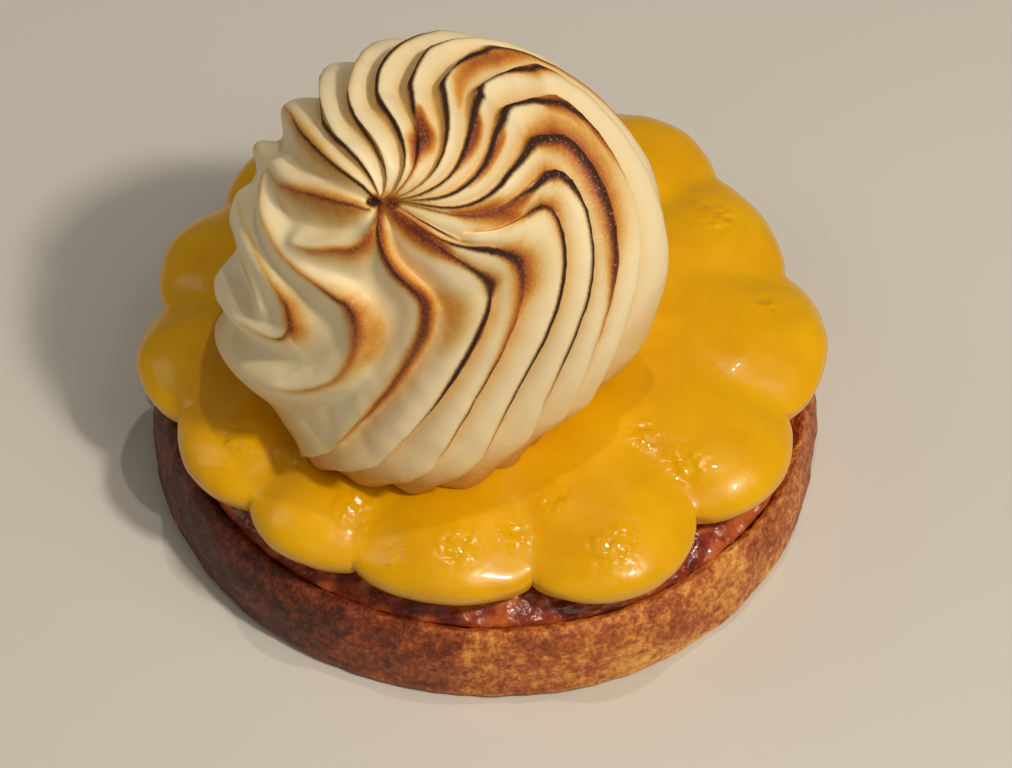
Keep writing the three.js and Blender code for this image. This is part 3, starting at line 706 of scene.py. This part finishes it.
# Scorching along each crest, as stops of: share of the way, char, half the width of the char line,
# toast, how far the toast spreads counter-clockwise, how far the line lies off the crest that way.
FLUTE_SCORCH = [
    [
        (0, 0.3, 0.3, 0.8, 0.6, 0), (0.05, 0.3, 0.4, 0.75, 0.7, 0), (0.1, 0.4, 0.5, 0.8, 0.8, -0.2),
        (0.14, 0.45, 0.5, 0.8, 0.8, -0.3), (0.2, 0.45, 0.5, 0.8, 0.9, -0.3),
        (0.26, 0.5, 0.6, 0.85, 1.1, 0), (0.31, 0.5, 0.6, 0.85, 1.1, 0.2),
        (0.38, 0.4, 0.5, 0.75, 1.0, 0.3), (0.46, 0.45, 0.4, 0.7, 0.9, 0.6),
        (0.54, 0.35, 0.3, 0.55, 0.7, 0.6), (0.62, 0.1, 0.25, 0.35, 0.6, 0.2), (0.72, 0, 0.2, 0, 0.5, 0),
    ],
    [
        (0, 0.3, 0.2, 0.6, 0.4, 0), (0.06, 0.2, 0.2, 0.5, 0.4, 0), (0.14, 0.5, 0.2, 0.5, 0.5, -0.1),
        (0.2, 0.7, 0.2, 0.5, 0.6, -0.1), (0.25, 0.9, 0.3, 0.5, 0.8, 0.1),
        (0.285, 1, 0.5, 0.7, 1.3, 0.3), (0.31, 0.9, 0.25, 0.5, 0.7, -0.1),
        (0.36, 0.9, 0.25, 0.45, 0.5, -0.4), (0.43, 0.9, 0.25, 0.45, 0.5, -0.3),
        (0.5, 0.85, 0.22, 0.45, 0.5, 0.1), (0.55, 0.7, 0.2, 0.4, 0.4, 0.2),
        (0.6, 0.4, 0.15, 0.35, 0.4, 0.1), (0.66, 0, 0.15, 0.1, 0.4, 0),
    ],
    [
        (0, 0.3, 0.2, 0.6, 0.4, 0), (0.08, 0.3, 0.2, 0.5, 0.4, -0.2), (0.15, 0.7, 0.15, 0.4, 0.4, 0),
        (0.2, 0.9, 0.2, 0.35, 0.4, 0), (0.24, 1, 0.28, 0.45, 0.6, -0.4), (0.27, 1, 0.4, 0.75, 1.3, 0),
        (0.3, 0.9, 0.55, 0.9, 2.0, 0.3), (0.325, 0.6, 0.45, 0.85, 1.9, 0.2),
        (0.36, 0.2, 0.2, 0.65, 1.3, -0.1), (0.4, 0.3, 0.15, 0.55, 0.9, -0.2),
        (0.45, 0.6, 0.18, 0.5, 0.6, -0.1), (0.5, 0.75, 0.2, 0.45, 0.5, 0),
        (0.57, 0.65, 0.18, 0.4, 0.4, 0), (0.62, 0.35, 0.15, 0.3, 0.4, 0), (0.68, 0, 0.15, 0, 0.4, 0),
    ],
    [
        (0.2, 0, 0.2, 0.05, 0.4, 0.4), (0.24, 0.2, 0.2, 0.45, 0.6, 0.4), (0.265, 0.5, 0.3, 0.5, 0.6, 0),
        (0.29, 0.95, 0.25, 0.6, 0.9, 0), (0.31, 1, 0.4, 0.8, 1.4, 0.2),
        (0.335, 1, 0.25, 0.65, 1.1, -0.1), (0.4, 1, 0.25, 0.4, 0.5, -0.2),
        (0.5, 0.95, 0.25, 0.4, 0.5, 0), (0.57, 0.75, 0.2, 0.4, 0.5, 0),
        (0.62, 0.4, 0.15, 0.4, 0.5, 0), (0.67, 0.1, 0.15, 0.2, 0.4, 0), (0.72, 0, 0.15, 0, 0.4, 0),
    ],
    [
        (0, 0.3, 0.15, 0.5, 0.3, 0), (0.06, 0.4, 0.12, 0.4, 0.3, 0), (0.13, 0.6, 0.12, 0.35, 0.4, 0),
        (0.17, 0.6, 0.2, 0.5, 0.5, -0.1), (0.21, 0.4, 0.3, 0.6, 0.8, -0.4),
        (0.25, 0.7, 0.2, 0.4, 0.5, -0.1), (0.27, 1, 0.25, 0.4, 0.4, -0.5),
        (0.305, 1, 0.45, 0.8, 1.4, -0.35), (0.34, 1, 0.35, 0.7, 1.1, -0.4),
        (0.37, 1, 0.3, 0.45, 0.6, 0), (0.48, 1, 0.3, 0.45, 0.6, 0), (0.54, 0.85, 0.25, 0.4, 0.5, 0),
        (0.59, 0.4, 0.15, 0.4, 0.5, 0), (0.65, 0, 0.15, 0.1, 0.4, 0),
    ],
    [
        (0, 0.3, 0.15, 0.5, 0.3, 0), (0.06, 0.6, 0.12, 0.4, 0.3, 0), (0.14, 0.9, 0.15, 0.35, 0.3, 0),
        (0.2, 1, 0.2, 0.35, 0.4, 0.2), (0.235, 1, 0.25, 0.35, 0.4, 0.3),
        (0.26, 1, 0.3, 0.6, 0.6, -0.3), (0.28, 1, 0.4, 0.8, 1.2, -0.4), (0.31, 0.85, 0.6, 0.9, 2.0, -0.2),
        (0.35, 0.7, 0.6, 0.95, 2.8, -0.3), (0.39, 0.65, 0.6, 0.95, 2.8, -0.3),
        (0.43, 0.65, 0.5, 0.85, 2.2, -0.4), (0.47, 0.6, 0.4, 0.75, 1.3, -0.5),
        (0.51, 0.4, 0.25, 0.5, 0.6, -0.2), (0.56, 0.15, 0.15, 0.3, 0.5, 0), (0.62, 0, 0.15, 0, 0.3, 0),
    ],
    [
        (0, 0.3, 0.15, 0.5, 0.3, 0), (0.06, 0.5, 0.12, 0.4, 0.3, 0),
        (0.13, 0.9, 0.14, 0.35, 0.3, -0.2), (0.19, 1, 0.18, 0.35, 0.4, -0.2),
        (0.22, 1, 0.22, 0.35, 0.4, 0), (0.245, 1, 0.38, 0.35, 0.4, -0.4), (0.28, 1, 0.32, 0.35, 0.4, 0),
        (0.32, 1, 0.3, 0.5, 0.7, -0.3), (0.35, 1, 0.28, 0.7, 1.3, -0.9), (0.375, 1, 0.28, 0.8, 1.7, -1.2),
        (0.4, 0.8, 0.3, 0.85, 1.6, -0.6), (0.425, 0.6, 0.35, 0.85, 1.1, 0.3),
        (0.45, 0.55, 0.35, 0.6, 0.4, 1.2), (0.49, 0.5, 0.3, 0.5, 0.4, 1.2),
        (0.52, 0.2, 0.2, 0.3, 0.4, 0.5), (0.56, 0, 0.15, 0.1, 0.3, 0), (0.6, 0, 0.15, 0, 0.3, 0),
    ],
    [
        (0, 0.3, 0.15, 0.5, 0.3, 0), (0.07, 0.6, 0.12, 0.4, 0.3, -0.1), (0.13, 0.9, 0.15, 0.4, 0.5, 0),
        (0.18, 1, 0.2, 0.4, 0.5, 0.3), (0.215, 1, 0.3, 0.4, 0.5, -0.1), (0.24, 1, 0.38, 0.4, 0.5, -0.6),
        (0.27, 1, 0.32, 0.4, 0.5, 0.3), (0.32, 1, 0.28, 0.5, 0.8, 0.1), (0.35, 1, 0.26, 0.6, 1.0, -0.4),
        (0.385, 0.95, 0.26, 0.75, 1.4, -0.7), (0.41, 0.85, 0.26, 0.75, 1.4, -0.4),
        (0.44, 0.7, 0.3, 0.6, 0.9, 0.4), (0.5, 0.5, 0.25, 0.55, 0.8, 0.5),
        (0.56, 0.3, 0.2, 0.45, 0.6, 0.3), (0.62, 0.1, 0.2, 0.2, 0.4, 0), (0.68, 0, 0.2, 0, 0.4, 0),
    ],
    [
        (0, 0.3, 0.15, 0.5, 0.3, 0), (0.07, 0.6, 0.12, 0.35, 0.3, 0), (0.14, 0.9, 0.15, 0.35, 0.4, 0),
        (0.2, 1, 0.25, 0.35, 0.4, -0.3), (0.255, 1, 0.24, 0.35, 0.4, 0.2),
        (0.3, 1, 0.24, 0.4, 0.4, -0.2), (0.35, 0.9, 0.25, 0.5, 0.6, -0.8),
        (0.4, 0.7, 0.25, 0.55, 0.8, -0.3), (0.5, 0.5, 0.25, 0.6, 1.0, 0), (0.57, 0.4, 0.22, 0.55, 0.9, 0),
        (0.63, 0.1, 0.2, 0.2, 0.5, 0), (0.69, 0, 0.2, 0, 0.4, 0),
    ],
    [
        (0, 0.3, 0.15, 0.5, 0.3, 0), (0.05, 0.3, 0.12, 0.4, 0.3, 0), (0.09, 0, 0.15, 0.6, 0.6, 0),
        (0.125, 0, 0.15, 0.7, 0.6, 0), (0.15, 0.9, 0.2, 0.4, 0.5, 0),
        (0.18, 1, 0.22, 0.35, 0.4, -0.3), (0.24, 1, 0.24, 0.35, 0.4, 0),
        (0.32, 0.9, 0.24, 0.4, 0.5, 0), (0.4, 0.7, 0.25, 0.45, 0.7, 0.4),
        (0.5, 0.4, 0.25, 0.35, 0.6, 0.2), (0.62, 0.1, 0.2, 0.15, 0.4, 0), (0.68, 0, 0.2, 0, 0.4, 0),
    ],
    [
        (0, 0.3, 0.12, 0.4, 0.3, 0), (0.04, 0.5, 0.12, 0.3, 0.3, 0), (0.1, 0.95, 0.15, 0.3, 0.3, 0.2),
        (0.2, 1, 0.18, 0.3, 0.4, -0.1), (0.28, 0.95, 0.2, 0.35, 0.5, -0.2),
        (0.36, 0.7, 0.22, 0.4, 0.7, -0.2), (0.5, 0.4, 0.2, 0.3, 0.6, 0),
        (0.62, 0.1, 0.2, 0.15, 0.4, 0), (0.68, 0, 0.2, 0, 0.4, 0),
    ],
    [
        (0, 0.3, 0.12, 0.4, 0.3, 0), (0.03, 0.6, 0.12, 0.3, 0.3, 0), (0.07, 0.8, 0.13, 0.35, 0.4, 0.4),
        (0.12, 0.9, 0.14, 0.3, 0.3, 0.3), (0.17, 0.95, 0.16, 0.3, 0.3, 0),
        (0.23, 0.8, 0.16, 0.35, 0.7, 0.3), (0.3, 0.7, 0.16, 0.35, 0.7, 0.1),
        (0.4, 0.4, 0.16, 0.35, 0.8, 0), (0.55, 0.2, 0.15, 0.25, 0.6, 0), (0.66, 0, 0.15, 0, 0.4, 0),
    ],
    [
        (0, 0.3, 0.12, 0.3, 0.3, 0), (0.04, 0.8, 0.12, 0.3, 0.3, 0.1), (0.12, 0.9, 0.14, 0.3, 0.3, 0.1),
        (0.17, 0.9, 0.16, 0.3, 0.4, 0.4), (0.22, 0.95, 0.18, 0.3, 0.4, 0.7),
        (0.27, 0.8, 0.16, 0.3, 0.4, 0.4), (0.33, 0.5, 0.15, 0.3, 0.5, 0),
        (0.45, 0.3, 0.15, 0.25, 0.5, 0), (0.62, 0, 0.15, 0, 0.4, 0),
    ],
    [
        (0, 0.6, 0.15, 0.3, 0.3, 0.3), (0.04, 0.9, 0.15, 0.3, 0.4, 0), (0.1, 0.75, 0.16, 0.4, 0.9, 0.2),
        (0.18, 0.75, 0.15, 0.5, 1.4, 0.2), (0.25, 0.7, 0.14, 0.45, 1.4, 0.1),
        (0.31, 0.5, 0.12, 0.3, 0.9, -0.3), (0.45, 0.2, 0.12, 0.2, 0.6, 0), (0.6, 0, 0.12, 0, 0.4, 0),
    ],
    [(0.42, 0.1, 0.12, 0.25, 0.5, 0), (0.6, 0.1, 0.12, 0.2, 0.5, 0), (0.7, 0, 0.12, 0, 0.4, 0)],
]
FOLD_SCORCH = [
    [
        (0, 0.7, 0.15, 0.3, 0.5, 0), (0.12, 0.7, 0.15, 0.5, 1.2, 0.1), (0.25, 0.6, 0.2, 0.55, 1.8, 0.2),
        (0.4, 0.5, 0.2, 0.5, 1.8, 0.2), (0.52, 0.4, 0.18, 0.45, 1.2, 0.5),
        (0.65, 0.3, 0.15, 0.35, 0.8, 1.0), (0.8, 0.1, 0.12, 0.2, 0.6, 0.6), (1, 0.1, 0.12, 0.2, 0.6, 0),
    ],
    [
        (0, 0.2, 0.15, 0.3, 0.6, 0), (0.12, 0, 0.1, 0.2, 0.5, 0.2), (0.3, 0.1, 0.12, 0.25, 0.5, 0.3),
        (0.45, 0.2, 0.15, 0.35, 0.5, 0), (0.6, 0.5, 0.2, 0.5, 0.6, -0.2),
        (0.72, 0.6, 0.22, 0.55, 0.8, -0.3), (0.8, 0.6, 0.25, 0.6, 1.6, -0.1),
        (0.9, 0.6, 0.25, 0.65, 2.0, 0), (1, 0.5, 0.25, 0.6, 1.8, 0),
    ],
    [
        (0, 0.5, 0.25, 0.6, 1.8, 0), (0.08, 0.3, 0.2, 0.6, 1.6, 0), (0.2, 0.2, 0.2, 0.5, 1.0, 0),
        (0.3, 0.3, 0.15, 0.4, 0.6, 0), (0.42, 0.1, 0.12, 0.3, 0.5, -0.2),
        (0.52, 0, 0.1, 0.1, 0.4, -0.4), (0.6, 0, 0.1, 0, 0.4, 0),
    ],
    [
        (0, 0.2, 0.2, 0.5, 0.6, 0), (0.1, 0.2, 0.2, 0.5, 0.8, 0.1), (0.22, 0.3, 0.25, 0.6, 1.2, 0.2),
        (0.4, 0.4, 0.3, 0.6, 1.0, 0.4), (0.55, 0.3, 0.25, 0.55, 0.9, 0.4),
        (0.72, 0.2, 0.2, 0.45, 0.7, 0.3), (0.85, 0.1, 0.15, 0.3, 0.5, 0.2), (1, 0, 0.1, 0.1, 0.4, 0),
    ],
    [
        (0, 0, 0.1, 0, 0.4, 0), (0.5, 0, 0.1, 0.1, 0.4, 0.5), (0.6, 0.2, 0.12, 0.2, 0.5, 0.8),
        (0.75, 0.3, 0.15, 0.3, 0.6, 0.4), (0.85, 0.6, 0.25, 0.55, 1.2, 0.5),
        (1, 0.6, 0.25, 0.6, 1.6, 0.6),
    ],
    [
        (0, 0.6, 0.2, 0.4, 0.9, 0.5), (0.15, 0.6, 0.15, 0.35, 0.7, 0.4), (0.3, 0.5, 0.13, 0.3, 0.5, 0.2),
        (0.4, 0.2, 0.1, 0.2, 0.4, -0.2), (0.5, 0, 0.1, 0.05, 0.4, -0.5), (0.6, 0, 0.1, 0, 0.4, 0),
    ],
    [
        (0, 0, 0.1, 0, 0.4, 0), (0.4, 0, 0.1, 0.15, 0.5, -0.3), (0.6, 0, 0.1, 0.25, 0.6, -0.6),
        (0.8, 0, 0.1, 0.15, 0.5, 0), (1, 0, 0.1, 0.1, 0.5, 0),
    ],
]
# Scorched patches, each along a line of points: way, azimuth, half-width in mm; then toast and char.
PATCHES = [
    ([(0, 170, 0.8), (0.02, 165, 0.7), (0.035, 160, 0.4)], 1.0, 1.0),
    ([(0, 0, 1.2), (0.03, -10, 1.2), (0.05, -20, 0.9)], 0.8, 0.2),
    ([(0.07, 42, 0.35), (0.09, 48.5, 0.9), (0.105, 51.5, 1.3), (0.122, 54.5, 1.4), (0.137, 58.5, 0.9),
      (0.165, 63, 0.35)], 0.92, 0.2),
    ([(0.12, 25, 0.2), (0.155, 34.5, 0.6), (0.182, 40, 0.8), (0.204, 45, 0.7), (0.225, 51, 0.3)], 0.75, 0),
    ([(0.16, 20, 0.2), (0.187, 28, 0.5), (0.212, 34.5, 0.6), (0.229, 38, 0.5), (0.25, 43, 0.2)], 0.65, 0),
    ([(0.13, 3, 0.2), (0.162, 5, 0.7), (0.197, 9, 1.1), (0.224, 12, 1.5), (0.25, 12.5, 1.4),
      (0.272, 11.5, 0.6)], 0.68, 0.2),
    ([(0.21, 10, 0.6), (0.242, 15.5, 1.1), (0.257, 18.5, 0.8), (0.28, 23, 0.3)], 0.65, 0.1),
    ([(0, -45, 0.4), (0.047, -34.5, 0.9), (0.102, -30, 1.3), (0.157, -26, 1.1), (0.2, -24, 0.6),
      (0.24, -23, 0.2)], 0.75, 0.2),
    ([(0.04, -11, 0.14), (0.09, -14.5, 0.14), (0.12, -14, 0.16), (0.152, -13, 0.16), (0.18, -11, 0.14),
      (0.22, -5, 0.12)], 0.5, 0.9),
    ([(0.2, -55, 0.5), (0.252, -47.5, 1.4), (0.285, -45, 2.2), (0.327, -51.5, 2.0), (0.39, -67, 0.8)],
     0.32, 0),
    ([(0.2, 52, 0.4), (0.25, 58, 1.0), (0.3, 59, 1.1), (0.35, 58.5, 1.1), (0.4, 57.5, 1.2),
      (0.45, 55, 1.1), (0.5, 51, 0.5)], 0.55, 0),
    ([(0.395, 45, 0.4), (0.415, 40, 1.2), (0.44, 35, 1.1), (0.49, 25, 0.5)], 0.85, 0.35),
    ([(0.245, 220, 0.4), (0.262, 241.5, 1.5), (0.279, 252, 2.1), (0.314, 260, 2.2), (0.362, 259, 1.9),
      (0.411, 251.5, 1.2), (0.48, 243, 0.5)], 0.34, 0),
]


def flute_valley(across, drop):
    """A flute's section, from 0 on its crest to 1 on the next: a sine down, 1 - sin^1.3 up."""
    fall = np.sin(np.pi / 2 * np.clip(across / drop, 0, 1))
    rise = np.sin(np.pi / 2 * np.clip((across - drop) / (1 - drop), 0, 1)) ** RISE_ROUNDING
    return np.where(across < drop, fall, 1 - rise)


def rosette_columns():
    """Share of its band and number of its band, for each column; flutes have more at their crests."""
    shares, bands = [], []
    for band, flute in enumerate(FLUTES):
        even = np.arange(flute.columns) / flute.columns
        crowded = even - CREST_CROWDING * np.sin(2 * np.pi * even) / (2 * np.pi)
        shares.append(even if band == FOLD_BAND else crowded)
        bands.append(np.full(flute.columns, band))
    return np.concatenate(shares), np.concatenate(bands)


def rosette_depth(signed, way, share, band):
    """Depth of every point below the dome, and how far across its band from crest to crest it lies.

    Closely spaced crests have shallower valleys. A flute's own section turns into grooves between
    rolls at the foot. Between folds the section is sin^2, and their band is blurred.
    """
    away = np.abs(signed)
    order = np.argsort(away, axis=0)
    every = np.arange(signed.shape[1])
    near, following = away[order[0], every], away[order[1], every]
    spacing = near + following
    between = near / np.maximum(spacing, TINY)
    behind = signed[order[0], every] >= 0
    across = np.where(behind, between, 1 - between).reshape(way.shape)
    bulge = np.sin(np.pi * between).reshape(way.shape)
    drops = np.array([flute.drop for flute in FLUTES])[band]
    deeps = np.array([flute.deep for flute in FLUTES])[band]
    feet = ramp(FEET_FROM, 1, way)
    fluted = deeps * flute_valley(across, drops) * (1 - feet) + FEET_DEPTH * (1 - bulge) * feet
    valley = np.where(band < FOLD_BAND - 1, fluted, bulge**FOLD_ROUNDING)
    depth = VALLEY * np.minimum(1, spacing / FULL_SPACING).reshape(way.shape) * valley
    sets_in = ramp(0, BLUR_EDGES[0], share) * ramp(0, BLUR_EDGES[1], 1 - share)
    folds = np.where(band == FOLD_BAND, sets_in, 0)
    return depth + folds * (blurred(depth, BLUR) - depth), across


def line_scorching(signed, along):
    """Most toast and most char of any line: exp(-(distance/spread)^1.4), and a straight fall."""
    toast = np.zeros(signed.shape[1])
    char = np.zeros(signed.shape[1])
    begins = [flute.begins for flute in FLUTES] + [0] * len(FOLDS)
    for line, stops in enumerate(FLUTE_SCORCH + FOLD_SCORCH):
        place = begins[line] + along[line] * (1 - begins[line])
        table = np.array(stops, float)
        line_char, half, line_toast, spread, shift = (
            np.interp(place, table[:, 0], table[:, i]) for i in range(1, 6)
        )
        off = signed[line] - shift
        side = np.where(off >= 0, spread, CLOCKWISE_SHARE * spread)
        toast = np.maximum(toast, line_toast * np.exp(-((np.abs(off) / side) ** TOAST_EDGE)))
        char = np.maximum(char, line_char * np.clip(1 - np.abs(off) / (CHAR_REACH * half), 0, 1))
    return toast, char


def patch_scorching(flat):
    """Most toast and most char of any patch: exp(-(distance/half-width)^2), faded at its ends."""
    toast = np.zeros(len(flat))
    char = np.zeros(len(flat))
    for points, patch_toast, patch_char in PATCHES:
        off, place = measure(flat, surface_line([point[:2] for point in points]))
        half = np.interp(place * (len(points) - 1), range(len(points)), [p[2] for p in points])
        inside = np.exp(-((off / half) ** 2)) * np.sin(np.pi * place) ** PATCH_FADE
        toast = np.maximum(toast, patch_toast * inside)
        char = np.maximum(char, patch_char * inside)
    return toast, char


def rosette_mesh():
    """Dome pressed in between its crest lines, with toast and char as attributes; the toast also holds
    painted shade on the flanks and towards the foot.
    """
    share, band = rosette_columns()
    ways = np.interp(np.linspace(1, 0, ROSETTE_RINGS + 1)[:-1], *np.transpose(RING_STATIONS))
    crests = np.array([flute_azimuth(flute, ways) for flute in FLUTES + FLUTES[:1]])
    crests[-1] += 360
    start, end = crests[band].T, crests[band + 1].T
    azimuth = start + share * (end - start)
    way = np.repeat(ways[:, None], len(share), axis=1)
    outer = dome(way, azimuth)
    flat = outer.reshape(-1, 3)
    lines = [flute_line(flute) for flute in FLUTES] + [surface_line(fold) for fold in FOLDS]
    measured = [measure(flat, line) for line in lines]
    signed = np.array([distance for distance, _ in measured])
    along = np.array([place for _, place in measured])

    depth, across = rosette_depth(signed, way, share, band)
    inward = DOME_CENTRE - outer
    inward /= np.linalg.norm(inward, axis=2)[..., None]
    inward[..., 2] *= 1 - ramp(FOOTING, 1, way)
    dimple = PINCH * np.exp(-((way / PINCH_SPREAD) ** 2))
    rings = outer + inward * (depth + dimple)[..., None]
    rings[..., 2] -= SINK * ramp(SINK_FROM, 1, way)
    rings = roughened(rings, ROSETTE_LUMPS, way > SMOOTH_TIP)

    # On the steep side behind each crest and towards the foot, partly real toast and partly painted shade.
    flank = FLANK_TOAST_AND_SHADE * (1 - FLANK_LOSS * ramp(*FLANK_LOSS_WAYS, way))
    flank = flank * np.exp(-((across / FLANK_SHARE) ** 2)) * (band < FOLD_BAND - 1)
    foot = FOOT_TOAST_AND_SHADE * ramp(*FOOT_TOAST_AND_SHADE_WAYS, way)
    line_toast, line_char = line_scorching(signed, along)
    patch_toast, patch_char = patch_scorching(flat)
    scorched = np.maximum(line_toast, patch_toast).reshape(way.shape)
    toast = np.maximum(np.maximum(flank, foot), scorched)
    char = np.maximum(line_char, patch_char).reshape(way.shape)
    tip = dome(0.0, 0.0)
    tip = tip + PINCH * (DOME_CENTRE - tip) / np.linalg.norm(DOME_CENTRE - tip)
    bottom = (*DOME_CENTRE[:2], DOME_FOOT - SINK)
    return closed_mesh("meringue_rosette", rings, bottom, tip, {"toast": toast, "char": char})


def rosette_finish():
    """Scorched meringue: cream, toasted through gold and brown to thin charred crests."""
    meringue = Finish(
        "scorched_meringue",
        IOR=1.42,
        Subsurface_Weight=0.12,
        Subsurface_Radius=(1.0, 0.7, 0.4),
        Subsurface_Scale=1.2 * MM,
    )
    toast, char = meringue.attribute("toast"), meringue.attribute("char")
    fine = meringue.grain(size=0.35, detail=2, roughness=0.6)
    coarse = meringue.grain(size=1.6, detail=3, roughness=0.55)
    # The toast value holds painted shade as well, on the flanks and towards the foot.
    tone_and_painted_shade = toast + (fine - 0.5) * 0.5 * toast + (coarse - 0.5) * 0.5 * toast
    colour = meringue.colours(tone_and_painted_shade, MERINGUE_COLOURS)
    line = meringue.between(char + (fine - 0.5) * 0.3, low=0.15, high=0.8)
    charred = meringue.mix(line, colour, paint(*CHAR_COLOUR))
    speckles = meringue.between(meringue.grain(0.3, detail=1, roughness=0.5), low=0.62, high=0.72)
    sugar = speckles * meringue.between(toast, low=0.35, high=0.7) * 0.6
    meringue.feed("Base Color", meringue.mix(sugar, charred, paint(*BURNT_SUGAR_COLOUR)))
    meringue.feed("Roughness", 0.32 + 0.2 * fine + 0.35 * line)
    meringue.feed("Normal", meringue.bump(fine * toast, depth=0.25, strength=0.9))
    return meringue.material


add_piece("pastry_case", case_mesh(), case_finish(), "pastry_shell")
add_piece("glazed_filling", filling_mesh(), filling_finish(), "baked_filling")
add_piece("curd_slab", curd_mesh(), curd_finish(), "lemon_curd")
add_piece("meringue_rosette", rosette_mesh(), rosette_finish(), "meringue")

# ---- camera, floor and light -----------------------------------------------------------------

CAMERA_DISTANCE = 527
CAMERA_ELEVATION = 51
CAMERA_AIM = (2.33, 4.07, 3.29)
LENS = 155.5
SENSOR = 36
FLOOR_SIZE = 4000
FLOOR_COLOUR = (214, 212, 206)
LIGHT_TARGET = (0, 0, 15)
KEY_PLACE = (271, -244, 517)
KEY_COLOUR = (1.0, 0.89, 0.74)
# name, place, size, power and colour
PANELS = [
    ("key", KEY_PLACE, 50, 2.0, KEY_COLOUR),
    ("sparkle", (60, 60, 600), 14, 0.42, (1.0, 0.93, 0.82)),
    ("soft_key", KEY_PLACE, 420, 0.8, KEY_COLOUR),
    ("left_fill", (-450, 60, 420), 300, 0.34, (1.0, 0.9, 0.76)),
    ("front_fill", (-120, -600, 420), 400, 0.15, (1.0, 0.92, 0.8)),
]
STUDIO_COLOUR = (1.0, 0.93, 0.82, 1.0)
STUDIO_STRENGTH = 0.1


def aimed(thing, place, target):
    """Puts a camera or light at a place, both in millimetres, and turns it to its target."""
    bpy.context.scene.collection.objects.link(thing)
    thing.location = Vector(place) * MM
    thing.rotation_euler = (Vector(target) - Vector(place)).to_track_quat("-Z", "Y").to_euler()
    return thing


def panel(name, place, size, power, colour):
    """Adds a square soft light, its place and size in millimetres."""
    light = bpy.data.lights.new(name, "AREA")
    light.shape = "SQUARE"
    light.size = size * MM
    light.energy = power
    light.color = colour
    aimed(bpy.data.objects.new(name, light), place, LIGHT_TARGET)


elevation = np.radians(CAMERA_ELEVATION)
camera_data = bpy.data.cameras.new("camera")
camera_data.lens = LENS
camera_data.sensor_width = SENSOR
camera_place = (
    0,
    -CAMERA_DISTANCE * float(np.cos(elevation)),
    CAMERA_DISTANCE * float(np.sin(elevation)),
)
camera = aimed(bpy.data.objects.new("camera", camera_data), camera_place, CAMERA_AIM)
bpy.context.scene.camera = camera

floor_mesh = bpy.data.meshes.new("floor")
half = FLOOR_SIZE / 2 * MM
corners = [(-half, -half, 0), (half, -half, 0), (half, half, 0), (-half, half, 0)]
floor_mesh.from_pydata(corners, [], [(0, 1, 2, 3)])
floor_mesh.materials.append(Finish("floor", Base_Color=paint(*FLOOR_COLOUR), Roughness=0.6).material)
floor = bpy.data.objects.new("floor", floor_mesh)
bpy.context.scene.collection.objects.link(floor)

for name, place, size, power, colour in PANELS:
    panel(name, place, size, power, colour)
world = bpy.data.worlds.new("studio")
world.use_nodes = True
backdrop = world.node_tree.nodes["Background"]
backdrop.inputs["Color"].default_value = STUDIO_COLOUR
backdrop.inputs["Strength"].default_value = STUDIO_STRENGTH
bpy.context.scene.world = world
bpy.context.scene.view_settings.view_transform = "Standard"
